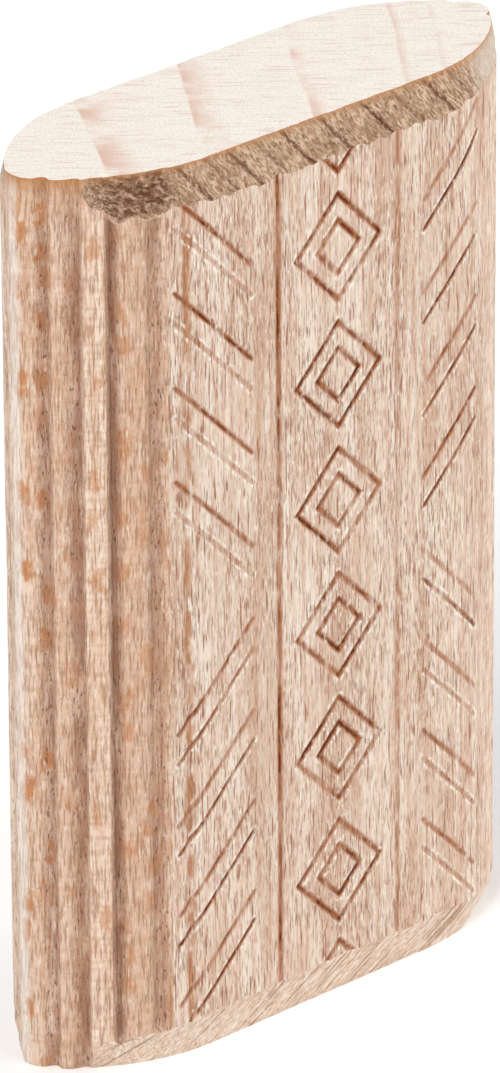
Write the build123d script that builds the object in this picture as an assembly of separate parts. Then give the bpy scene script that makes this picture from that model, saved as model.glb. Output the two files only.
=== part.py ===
from build123d import *
import math
import os

os.makedirs("parts", exist_ok=True)

# Loose tenon in one piece of beech. Millimetres.
# It stands on its lower end: X across the width, Y through the thickness, Z along the length.

# Body
thickness = 8.0
width = 23.5
length = 36.0

# Rounded sides: an easy shoulder arc runs off each flat and a tighter nose arc closes the side
shoulder_radius = 6.5
nose_radius = 1.2

# Reeds along the rounded sides: V valleys cut into them leave flat-topped reeds
valley_width = 0.55
valley_depth = 0.30
edge_valley_depth = 0.16
# Places of the valleys, from the end of the flat (0) to the middle of the side (1)
valley_shares = (0.133, 0.297, 0.510, 0.672, 0.835)

# Tapered ends, so that the tenon enters its mortise
taper_height = 1.57
taper_inset = 0.40
end_shoulder_radius = 7.5
end_nose_radius = 1.0
# How much the taper widens per taper height at the nose and in the two radii
nose_growth = 0.2
shoulder_radius_loss = 1.0
nose_radius_gain = 0.2
# The taper is carried on past the flats, so that it leaves them cleanly
taper_run_share = 2.0

# Pressed pattern on both flats, set a little to one side as on the object
pattern_offset = 0.60

# Two grooves along the length, one each side of the middle band
rail_spacing = 6.00
rail_width = 0.36
rail_depth = 0.16

# Pairs of oblique lines in the two outer bands
line_inner_reach = 4.35
line_outer_reach = 7.90
line_angle = 45.0
pair_pitch = 3.75
pair_gap = 1.20
first_pair_rise = 1.50
pairs_per_half = 4
upper_line_width = 0.26
upper_line_depth = 0.14
lower_line_width = 0.18
lower_line_depth = 0.12

# Column of lozenges in the middle band
lozenge_width = 4.20
lozenge_height = 4.20
lozenge_pitch = 5.10
lozenges_per_half = 4
inner_lozenge_share = 0.50
lozenge_line_width = 0.28
lozenge_line_depth = 0.14


class Side:
    """One rounded side, worked out for the quarter where X is positive and Y is negative."""

    def __init__(self, half_width, half_thickness, shoulder, nose):
        self.half_width = half_width
        self.half_thickness = half_thickness
        self.shoulder = shoulder
        self.nose = nose
        self.turn = math.acos((shoulder - half_thickness) / (shoulder - nose))
        self.flat_end = half_width - nose - (shoulder - nose) * math.sin(self.turn)
        self.shoulder_run = shoulder * self.turn
        self.run = self.shoulder_run + nose * (math.pi / 2 - self.turn)

    def at(self, share, inset=0):
        """Point at a share of the way from the flat to the middle of the side, set in by a depth."""
        run = share * self.run
        if run <= self.shoulder_run:
            angle = run / self.shoulder
            reach = self.shoulder - inset
            x = self.flat_end + reach * math.sin(angle)
            y = self.shoulder - self.half_thickness - reach * math.cos(angle)
        else:
            angle = self.turn + (run - self.shoulder_run) / self.nose
            reach = self.nose - inset
            x = self.half_width - self.nose + reach * math.sin(angle)
            y = -reach * math.cos(angle)
        return x, y


def outline(side, quarter):
    """Face whose flats join four copies of a quarter's edges, each two points or three points of an arc."""
    edges = []
    for y_sign in (1, -1):
        for x_sign in (1, -1):
            edges += [[(x_sign * x, y_sign * y) for x, y in edge] for edge in quarter]
        x, y = side.at(0)
        edges.append([(-x, y_sign * y), (x, y_sign * y)])
    return make_face([Line(*edge) if len(edge) == 2 else ThreePointArc(*edge) for edge in edges])


def plain_outline(side):
    """Oblong with a shoulder arc and half a nose arc in each quarter."""
    split = side.shoulder_run / side.run
    shoulder = [side.at(0), side.at(split / 2), side.at(split)]
    nose = [side.at(split), side.at((split + 1) / 2), side.at(1)]
    return outline(side, [shoulder, nose])


def reeded_section(side):
    """Section of the body, with valleys cut into both rounded sides."""
    half_valley = valley_width / 2 / side.run
    depths = [edge_valley_depth] + [valley_depth] * (len(valley_shares) - 1)
    quarter = []
    reed_start = 0
    for share, depth in zip(valley_shares, depths):
        reed_end = share - half_valley
        bottom = side.at(share, depth)
        quarter.append([side.at(reed_start), side.at((reed_start + reed_end) / 2), side.at(reed_end)])
        quarter.append([side.at(reed_end), bottom])
        reed_start = share + half_valley
        quarter.append([bottom, side.at(reed_start)])
    quarter.append([side.at(reed_start), side.at((reed_start + 1) / 2), side.at(1)])
    return outline(side, quarter)


def taper_side(steps):
    """Outline of the end envelope a number of taper heights below the end."""
    return Side(
        width / 2 + nose_growth * steps,
        thickness / 2 - taper_inset + taper_inset * steps,
        end_shoulder_radius - shoulder_radius_loss * steps,
        end_nose_radius + nose_radius_gain * steps,
    )


def end_envelope():
    """Solid that tapers at both ends and clears the body between them."""
    run = taper_run_share * taper_height
    small = plain_outline(taper_side(0))
    large = plain_outline(taper_side(taper_run_share))
    levels = [(small, 0), (large, run), (large, length - run), (small, length)]
    return loft([Pos(0, 0, level) * face for face, level in levels], ruled=True)


def pressed_line(start, end, line_width, line_depth):
    """Cutter for a V groove on the front flat, between two places given as X and Z."""
    run = math.dist(start, end)
    along = Vector((end[0] - start[0]) / run, 0, (end[1] - start[1]) / run)
    across = Vector(0, 1, 0).cross(along)
    plane = Plane(origin=(start[0], -thickness / 2, start[1]), x_dir=across, z_dir=along)
    inward = plane.y_dir.Y * line_depth
    groove = Polyline((0, inward), (-line_width, -inward), (line_width, -inward), close=True)
    return plane * extrude(make_face(groove), run)


def rails():
    cuts = []
    for sign in (-1, 1):
        place = pattern_offset + sign * rail_spacing / 2
        cuts.append(pressed_line((place, 0), (place, length), rail_width, rail_depth))
    return cuts


def oblique_lines():
    """Pairs of lines that climb outwards above mid-length and fall outwards below it."""
    slope = math.tan(math.radians(line_angle))
    climb = slope * (line_outer_reach - line_inner_reach)
    lines = ((1, upper_line_width, upper_line_depth), (-1, lower_line_width, lower_line_depth))
    cuts = []
    for pair in range(pairs_per_half):
        middle = first_pair_rise + pair * pair_pitch
        for half in (-1, 1):
            for edge, *size in lines:
                inner = length / 2 + half * middle + edge * pair_gap / 2
                outer = inner + half * climb
                for sign in (-1, 1):
                    start = (pattern_offset + sign * line_inner_reach, inner)
                    end = (pattern_offset + sign * line_outer_reach, outer)
                    cuts.append(pressed_line(start, end, *size))
    return cuts


def lozenges():
    """Column of nested lozenges, evenly set about mid-length."""
    cuts = []
    for place in range(lozenges_per_half):
        for half in (-1, 1):
            middle = length / 2 + half * (place + 1 / 2) * lozenge_pitch
            for share in (1, inner_lozenge_share):
                reach = share * lozenge_width / 2
                rise = share * lozenge_height / 2
                corners = [
                    (pattern_offset + reach, middle),
                    (pattern_offset, middle + rise),
                    (pattern_offset - reach, middle),
                    (pattern_offset, middle - rise),
                ]
                for start, end in zip(corners, corners[1:] + corners[:1]):
                    cuts.append(pressed_line(start, end, lozenge_line_width, lozenge_line_depth))
    return cuts


body_side = Side(width / 2, thickness / 2, shoulder_radius, nose_radius)
body = extrude(reeded_section(body_side), length)
body = body & end_envelope()

front_marks = rails() + oblique_lines() + lozenges()
back_marks = [mark.rotate(Axis.Z, 180) for mark in front_marks]
tenon = body - (front_marks + back_marks)

export_step(tenon, "parts/tenon.step")
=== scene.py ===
"""Scene of a loose tenon: one piece of beech with reeded round sides, tapered ends and pressed cheeks."""
import logging
import math
from collections.abc import Sequence
from dataclasses import dataclass
from enum import Enum, IntEnum
from typing import Any, ClassVar

import bpy
import numpy as np
from mathutils import Matrix, Vector


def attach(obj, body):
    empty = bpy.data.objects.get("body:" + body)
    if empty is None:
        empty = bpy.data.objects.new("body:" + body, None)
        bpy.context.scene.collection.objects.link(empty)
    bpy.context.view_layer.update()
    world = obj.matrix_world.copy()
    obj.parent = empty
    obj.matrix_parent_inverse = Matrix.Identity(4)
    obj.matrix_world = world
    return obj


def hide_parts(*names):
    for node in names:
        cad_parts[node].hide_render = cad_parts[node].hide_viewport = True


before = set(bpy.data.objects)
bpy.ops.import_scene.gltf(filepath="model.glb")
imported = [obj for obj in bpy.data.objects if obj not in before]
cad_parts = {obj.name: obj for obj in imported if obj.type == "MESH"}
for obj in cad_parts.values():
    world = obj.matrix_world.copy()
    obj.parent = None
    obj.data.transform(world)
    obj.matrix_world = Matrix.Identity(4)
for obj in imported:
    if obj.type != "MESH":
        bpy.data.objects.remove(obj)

Array = np.ndarray
Colour = tuple[float, float, float, float]
Pair = tuple[float, float]
Size = tuple[float, float, float]
Socket = bpy.types.NodeSocket
Stain = tuple[bpy.types.NodeSocket, str]
Tree = bpy.types.NodeTree

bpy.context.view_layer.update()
MM = 0.001
WOOD_IOR = 1.5
WOOD_SPECULAR = 0.15
log = logging.getLogger("tenon")


# --------------------------------------------------------------------------------------------------------------
# Small tools


def linear(colour: str) -> Colour:
    """Turns an sRGB hex value into linear light.

    Args:
        colour: Hex value, such as "#ebdccb".

    Returns:
        Linear red, green and blue, with full alpha.
    """
    shares = [int(colour[place:place + 2], 16) / 255 for place in (1, 3, 5)]
    red, green, blue = [s / 12.92 if s <= 0.04045 else ((s + 0.055) / 1.055) ** 2.4 for s in shares]
    return red, green, blue, 1.0


def smooth(value: Array, start: float, end: float) -> Array:
    """Smooth step from 0 at the start to 1 at the end: 3t² - 2t³, where t is the share of the way from 0 to 1."""
    share = np.clip((value - start) / (end - start), 0, 1)
    return share * share * (3 - 2 * share)


def add(tree: Tree, kind: str, inputs: dict[str | int, Any] | None = None, **settings: Any) -> bpy.types.Node:
    """Adds a node, sets it up and links it.

    Args:
        tree: Node tree that gets the node.
        kind: Name of the node's type, after "ShaderNode".
        inputs: A value, or the socket to link from, for each input by its name or place.
        settings: The node's own properties.

    Returns:
        The new node.
    """
    made = tree.nodes.new("ShaderNode" + kind)
    for name, value in settings.items():
        setattr(made, name, value)
    for key, value in (inputs or {}).items():
        if isinstance(value, bpy.types.NodeSocket):
            tree.links.new(value, made.inputs[key])
        else:
            made.inputs[key].default_value = value
    return made


@dataclass(frozen=True)
class FibreNoise:
    """Smooth noise on a lattice that closes round the girth.

    Random heights in -1..1 stand on a lattice of columns and rows, whose spacings across and along the grain are
    in mm. Between four of them the height is blended both ways by the smooth step 3t² - 2t³.
    """

    seed: int
    across: float
    along: float

    def at(self, girth_place: Array, height: Array, girth: float) -> Array:
        """Noise at places on the surface.

        Args:
            girth_place: Places round the girth, in mm.
            height: Heights along the grain, in mm, not below zero.
            girth: Length of the whole girth, in mm.

        Returns:
            Values in -1..1, in the shape of the places.
        """
        columns = max(3, round(girth / self.across))
        rows = int(np.max(height) / self.along) + 2
        heights = np.random.default_rng(self.seed).uniform(-1, 1, (columns, rows))
        u = girth_place / girth * columns
        v = height / self.along
        column, row = np.floor(u).astype(int), np.floor(v).astype(int)
        s, t = smooth(u - column, 0, 1), smooth(v - row, 0, 1)
        left, right = column % columns, (column + 1) % columns
        low = heights[left, row] * (1 - s) + heights[right, row] * s
        high = heights[left, row + 1] * (1 - s) + heights[right, row + 1] * s
        return low * (1 - t) + high * t


# --------------------------------------------------------------------------------------------------------------
# Finishes


class Finish(IntEnum):
    """Place of each finish among the tenon's materials."""

    CHEEK = 0
    REEDS = 1
    UPPER_TAPER = 2
    LOWER_TAPER = 3
    END_GRAIN = 4


class LineKind(Enum):
    """How a pressed line looks: crushed soft and brown, or a sharp dark hairline."""

    SOFT = "soft_line"
    HAIR = "hair_line"


@dataclass(frozen=True)
class Marks:
    """Stretched marks in the wood: noise whose cells have a real size, cut to a window of its heights.

    The size is in mm along each axis. A mark starts and is full at the two heights of the window, and a full mark
    has the value of the strength. The detail is the noise's octaves.

    Beech has vessels of 0.04 to 0.08 mm and finer fibres between them. A pixel of the picture is about 0.04 mm, so
    marks are drawn no finer than 0.07 mm, about two pixels, which the eye can still tell apart.
    """

    size: Size
    window: Pair
    strength: float = 1.0
    detail: float = 2.0
    octave_gain: ClassVar[float] = 0.55

    def mask(self, tree: Tree, place: Socket, turn: float = 0.0) -> Socket:
        """Adds the marks to a material.

        Args:
            tree: Node tree that gets the nodes.
            place: Coordinates in metres.
            turn: Angle in degrees by which the marks lean about the Y axis.

        Returns:
            Socket with the mask.
        """
        leaned = add(tree, "Mapping", {"Vector": place, "Rotation": (0, math.radians(turn), 0)})
        scale = tuple(1 / (side * MM) for side in self.size)
        sized = add(tree, "Mapping", {"Vector": leaned.outputs[0], "Scale": scale})
        noise = add(tree, "TexNoise", {
            "Vector": sized.outputs[0], "Scale": 1.0, "Detail": self.detail, "Roughness": self.octave_gain,
        })
        cut = add(tree, "MapRange", {
            "Value": noise.outputs["Fac"], "From Min": self.window[0], "From Max": self.window[1],
            "To Max": self.strength,
        }, interpolation_type="SMOOTHSTEP")
        return cut.outputs[0]


def blank_wood(name: str, roughness: float) -> tuple[bpy.types.Material, Tree, bpy.types.Node]:
    """Starts an uncoated wood. Its open fibres scatter light, so they mirror far less than a coat would.

    Args:
        name: Name of the material.
        roughness: Roughness of the surface, the same all over.

    Returns:
        The material, its node tree and its shader.
    """
    material = bpy.data.materials.new(name)
    material.use_nodes = True
    tree = material.node_tree
    shader = tree.nodes["Principled BSDF"]
    shader.inputs["Roughness"].default_value = roughness
    shader.inputs["IOR"].default_value = WOOD_IOR
    shader.inputs["Specular IOR Level"].default_value = WOOD_SPECULAR
    return material, tree, shader


def lay_finish(
    tree: Tree, shader: bpy.types.Node, base: str, stains: Sequence[Stain], height: Socket, relief: Pair,
) -> None:
    """Lays stains over a base colour, one after another, and sinks the surface under its marks.

    Args:
        tree: Node tree that gets the nodes.
        shader: Shader that gets the colour and the relief.
        base: Colour under the stains.
        stains: Mask and colour of each stain, the lowest first.
        height: Socket with the marks that sink.
        relief: Depth of a full mark in mm, and how strongly it shows.
    """
    colour = linear(base)
    for mask, stain in stains:
        # Sockets 0, 6 and 7 are the share, the lower colour and the upper colour, and output 2 is their mix
        colour = add(tree, "Mix", {0: mask, 6: colour, 7: linear(stain)}, data_type="RGBA").outputs[2]
    bump = add(tree, "Bump", {
        "Height": height, "Distance": relief[0] * MM, "Strength": relief[1],
    }, invert=True)
    tree.links.new(colour, shader.inputs["Base Color"])
    tree.links.new(bump.outputs[0], shader.inputs["Normal"])


@dataclass(frozen=True)
class LineLook:
    """Look of one kind of pressed line.

    The brown band and the dark core each have the distances, in half widths, at which they start and are full.
    The browning is its gain with the force and its least value.
    """

    kind: LineKind
    band: Pair
    core: Pair
    browning: Pair


@dataclass(frozen=True)
class PressedBeech:
    """Planed beech cheek with lines pressed into it.

    Planed face grain shows lengthwise streaks of cream and tan, short reddish vessel lines and loose fibre ends,
    which stand in patches; where they catch the light on one side, that is a painted highlight. The press crushes
    the fibres in its lines. A lightly pressed line is orange-brown, and a hard one has a dark core. A hairline
    throws up a burr beside it, drawn as a painted highlight. The groove at the cheek's edge is browner in flecks,
    partly a painted shade.
    """

    name: str = "planed_beech_pressed"
    roughness: float = 0.62
    relief: Pair = (0.035, 0.9)

    cream: str = "#ebdccb"
    pink: str = "#d6b099"
    tan: str = "#c1987a"
    fibre: str = "#a67357"
    # Painted highlight on fibre ends and beside hairlines
    pale: str = "#f7eee0"
    vessel: str = "#9c5a40"
    pressed: str = "#a8663a"
    core: str = "#682d15"
    # Painted shade in brown flecks along the groove at the cheek's edge
    groove: str = "#b87c52"

    streaks: Marks = Marks((0.22, 0.22, 5.0), (0.36, 0.66), 0.8, detail=3.0)
    broad_streaks: Marks = Marks((1.1, 1.1, 13.0), (0.40, 0.70), 0.60)
    patches: Marks = Marks((1.6, 1.6, 6.0), (0.32, 0.66))
    patch_gain: float = 0.55
    patch_least: float = 0.45
    fibre_ends: Marks = Marks((0.075, 0.075, 0.60), (0.47, 0.66), 0.80)
    # Painted highlights on the fibre ends that catch the light
    fibre_end_highlights: Marks = Marks((0.070, 0.070, 0.42), (0.55, 0.68), 0.80)
    vessels: Marks = Marks((0.10, 0.10, 1.3), (0.60, 0.68), 0.80)
    fuzz: Marks = Marks((0.10, 0.10, 0.32), (0.30, 0.70))
    groove_shade_flecks: Marks = Marks((0.4, 0.4, 1.0), (0.36, 0.60), 0.85)
    groove_shade_depth: float = 0.25
    burr_highlights: Marks = Marks((0.16, 0.16, 0.45), (0.50, 0.60), 0.85)
    burr_highlight_edges: tuple[Pair, Pair] = ((0.9, 1.3), (2.6, 1.7))
    ragged: Marks = Marks((0.20, 0.20, 0.9), (0.25, 0.52))
    flecks: Marks = Marks((0.22, 0.22, 0.40), (0.34, 0.57))
    core_force: Pair = (0.40, 0.70)
    looks: tuple[LineLook, LineLook] = (
        LineLook(LineKind.SOFT, (1.05, 0.40), (0.55, 0.10), (0.95, 0.30)),
        LineLook(LineKind.HAIR, (1.30, 0.50), (0.85, 0.20), (1.1, 0.1)),
    )

    def burr_highlight_mask(self, tree: Tree, place: Socket) -> Socket:
        """Mask of the painted burr highlights, which stand between an inner and an outer distance from a hairline.

        Args:
            tree: Node tree that gets the nodes.
            place: Object coordinates.

        Returns:
            Socket with the mask.
        """
        hair = add(tree, "Attribute", attribute_name=LineKind.HAIR.value).outputs["Fac"]
        mask = self.burr_highlights.mask(tree, place)
        for start, full in self.burr_highlight_edges:
            beside = add(tree, "MapRange", {"Value": hair, "From Min": start, "From Max": full}).outputs[0]
            mask = add(tree, "Math", {0: mask, 1: beside}, operation="MULTIPLY").outputs[0]
        return mask

    def stamped(self, tree: Tree, place: Socket) -> list[Stain]:
        """Stains of the pressed lines: a ragged brown band along each, and a flecked dark core in the hard ones.

        Args:
            tree: Node tree that gets the nodes.
            place: Object coordinates.

        Returns:
            The stains, the lowest first.
        """
        force = add(tree, "Attribute", attribute_name="line_force").outputs["Fac"]
        ragged = self.ragged.mask(tree, place)
        start, full = self.core_force
        hard = add(tree, "MapRange", {"Value": force, "From Min": start, "From Max": full}).outputs[0]
        flecks = self.flecks.mask(tree, place)
        flecked = add(tree, "Math", {0: flecks, 1: hard}, operation="MULTIPLY").outputs[0]
        bands: list[Stain] = []
        cores: list[Stain] = []
        for look in self.looks:
            gain, least = look.browning
            browned = add(tree, "Math", {0: force, 1: gain, 2: least}, operation="MULTIPLY_ADD").outputs[0]
            browned = add(tree, "Math", {0: browned, 1: ragged}, operation="MULTIPLY").outputs[0]
            aside = add(tree, "Attribute", attribute_name=look.kind.value).outputs["Fac"]
            for stains, (start, full), amount, tone in (
                (bands, look.band, browned, self.pressed), (cores, look.core, flecked, self.core),
            ):
                mark = add(tree, "MapRange", {"Value": aside, "From Min": start, "From Max": full}).outputs[0]
                mark = add(tree, "Math", {0: mark, 1: amount}, operation="MULTIPLY").outputs[0]
                stains.append((mark, tone))
        return bands + cores

    def material(self) -> bpy.types.Material:
        """Builds the material.

        Returns:
            The material.
        """
        material, tree, shader = blank_wood(self.name, self.roughness)
        place = add(tree, "TexCoord").outputs["Object"]
        fuzzy = add(tree, "Math", {
            0: self.patches.mask(tree, place), 1: self.patch_gain, 2: self.patch_least,
        }, operation="MULTIPLY_ADD").outputs[0]
        fibre, pale = (
            add(tree, "Math", {0: marks.mask(tree, place), 1: fuzzy}, operation="MULTIPLY").outputs[0]
            for marks in (self.fibre_ends, self.fibre_end_highlights)
        )
        vessel = self.vessels.mask(tree, place)
        valley = add(tree, "Attribute", attribute_name="valley").outputs["Fac"]
        # Groove at the cheek's edge: painted shade in brown flecks, fuller where it is deeper
        shallow = add(tree, "MapRange", {"Value": valley, "From Max": self.groove_shade_depth}).outputs[0]
        groove_shade = add(tree, "Math", {0: shallow, 1: self.groove_shade_flecks.mask(tree, place)}, operation="MULTIPLY").outputs[0]
        stains = [
            (self.streaks.mask(tree, place), self.pink),
            (self.broad_streaks.mask(tree, place), self.tan),
            (fibre, self.fibre),
            # Painted highlight on fibre ends
            (pale, self.pale),
            (vessel, self.vessel),
            (groove_shade, self.groove),
            # Painted highlight beside each hairline
            (self.burr_highlight_mask(tree, place), self.pale),
            *self.stamped(tree, place),
        ]
        height = add(tree, "Math", {0: fibre, 1: vessel}, operation="ADD").outputs[0]
        height = add(tree, "Math", {0: self.fuzz.mask(tree, place), 1: height}, operation="ADD").outputs[0]
        lay_finish(tree, shader, self.cream, stains, height, self.relief)
        return material


@dataclass(frozen=True)
class ReededBeech:
    """Milled beech reeds.

    The cutter leaves the reeds smoother than the cheeks, so that the rays show as orange-brown spots, with a faint
    banding across the grain. The valleys are browner, partly a painted shade, with open pores like dark specks, and
    the upper end is scorched. Painted highlights pale the right-hand reeds and the middle of each round side, and
    the fibres still show through them. The pale fibre ends are painted highlights too.
    """

    name: str = "milled_beech_reeds"
    roughness: float = 0.58
    relief: Pair = (0.03, 0.75)

    light: str = "#edd8c4"
    dark: str = "#d1ad95"
    body: str = "#d7b398"
    band: str = "#c59a7a"
    fibre: str = "#a5785a"
    # Painted highlight on fibre ends and on right-hand reeds with tones below zero
    pale: str = "#f5e9da"
    mottle: str = "#c09273"
    spot: str = "#bf7d4b"
    # Painted shade with a browner tint, laid in the valleys between reeds
    valley: str = "#96694f"
    speck: str = "#674534"
    scorch: str = "#b9814f"
    # Painted highlight on the right-hand reeds and the middle of each round side
    painted_highlight: str = "#ede1d5"

    # A tone above zero darkens a reed, and one below zero pales it, partly as a painted highlight on the right
    tone_gains: Pair = (0.85, -1.0)
    streaks: Marks = Marks((0.28, 0.28, 8.0), (0.36, 0.66), 0.8, detail=3.0)
    bands: Marks = Marks((2.5, 2.5, 0.28), (0.45, 0.66), 0.45)
    mottling: Marks = Marks((0.38, 0.38, 1.7), (0.50, 0.70), 0.55)
    fibre_ends: Marks = Marks((0.080, 0.080, 0.80), (0.47, 0.66), 0.72)
    fibre_end_highlights: Marks = Marks((0.075, 0.075, 0.50), (0.55, 0.68), 0.45)
    fuzz: Marks = Marks((0.11, 0.11, 0.30), (0.30, 0.70))
    valley_shade_and_tint: Marks = Marks((0.5, 0.5, 2.2), (0.20, 0.60), 0.9)
    pores: Marks = Marks((0.075, 0.075, 0.30), (0.60, 0.66), 0.80)
    pore_valley: float = 0.5
    pore_least: float = 0.25
    scorch_power: float = 0.3

    spot_spacing: Pair = (0.95, 1.5)
    spot_power: float = 3.0
    spot_fraying: Marks = Marks((0.22, 0.22, 0.40), (0.25, 0.75), 0.34)
    spot_edge: Pair = (0.54, 0.34)
    spot_draw: Pair = (0.30, 0.75)
    spot_strength: float = 0.85

    def spots(self, tree: Tree, place: Socket) -> Socket:
        """Mask of the ray spots: frayed oblongs round the points of a Voronoi pattern, of which only some are kept.

        The pattern's distance is the cube root of the sum of both ways cubed, which rounds the oblongs' corners.

        Args:
            tree: Node tree that gets the nodes.
            place: Object coordinates, by which the spots are frayed.

        Returns:
            Socket with the mask.
        """
        girth = add(tree, "Attribute", attribute_name="girth_place").outputs["Vector"]
        scale = (1 / self.spot_spacing[0], 1 / self.spot_spacing[1], 1.0)
        sized = add(tree, "Mapping", {"Vector": girth, "Scale": scale})
        cells = add(tree, "TexVoronoi", {
            "Vector": sized.outputs[0], "Scale": 1.0, "Exponent": self.spot_power,
        }, voronoi_dimensions="2D", distance="MINKOWSKI")
        frayed = self.spot_fraying.mask(tree, place)
        reach = add(tree, "Math", {0: cells.outputs["Distance"], 1: frayed}, operation="ADD").outputs[0]
        start, full = self.spot_edge
        near = add(tree, "MapRange", {"Value": reach, "From Min": start, "From Max": full}).outputs[0]
        drawn = add(tree, "SeparateColor", {0: cells.outputs["Color"]}).outputs[0]
        start, full = self.spot_draw
        chosen = add(tree, "MapRange", {
            "Value": drawn, "From Min": start, "From Max": full, "To Max": self.spot_strength,
        }).outputs[0]
        spotted = add(tree, "Attribute", attribute_name="spotted").outputs["Fac"]
        chosen = add(tree, "Math", {0: chosen, 1: spotted}, operation="MULTIPLY").outputs[0]
        return add(tree, "Math", {0: near, 1: chosen}, operation="MULTIPLY").outputs[0]

    def material(self) -> bpy.types.Material:
        """Builds the material.

        Returns:
            The material.
        """
        material, tree, shader = blank_wood(self.name, self.roughness)
        place = add(tree, "TexCoord").outputs["Object"]
        valley, arris, tone, painted_highlight = (
            add(tree, "Attribute", attribute_name=name).outputs["Fac"]
            for name in ("valley", "arris", "reed_tone", "painted_highlight")
        )
        darker, paler = (
            add(tree, "Math", {0: tone, 1: gain}, operation="MULTIPLY").outputs[0] for gain in self.tone_gains
        )
        fibre = self.fibre_ends.mask(tree, place)
        # Valleys browner in patches: painted shade with a browner tint
        brown = add(tree, "Math", {0: valley, 1: self.valley_shade_and_tint.mask(tree, place)}, operation="MULTIPLY").outputs[0]
        opened = add(tree, "MapRange", {
            "Value": valley, "From Max": self.pore_valley, "To Min": self.pore_least,
        }).outputs[0]
        speck = add(tree, "Math", {0: self.pores.mask(tree, place), 1: opened}, operation="MULTIPLY").outputs[0]
        stains = [
            (darker, self.dark),
            # Paler where the tone is below zero, on right-hand reeds: partly a painted highlight
            (paler, self.pale),
            (self.streaks.mask(tree, place), self.body),
            (self.bands.mask(tree, place), self.band),
            (self.mottling.mask(tree, place), self.mottle),
            # Painted highlight, under the fibres, which still show
            (painted_highlight, self.painted_highlight),
            (fibre, self.fibre),
            # Painted highlight on fibre ends
            (self.fibre_end_highlights.mask(tree, place), self.pale),
            (self.spots(tree, place), self.spot),
            (brown, self.valley),
            # Painted highlight again, stronger where full, laid over the valleys
            (add(tree, "Math", {0: painted_highlight, 1: painted_highlight}, operation="MULTIPLY").outputs[0], self.painted_highlight),
            (speck, self.speck),
            (add(tree, "Math", {0: arris, 1: self.scorch_power}, operation="POWER").outputs[0], self.scorch),
        ]
        height = add(tree, "Math", {0: fibre, 1: self.fuzz.mask(tree, place)}, operation="ADD").outputs[0]
        lay_finish(tree, shader, self.light, stains, height, self.relief)
        return material


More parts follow.
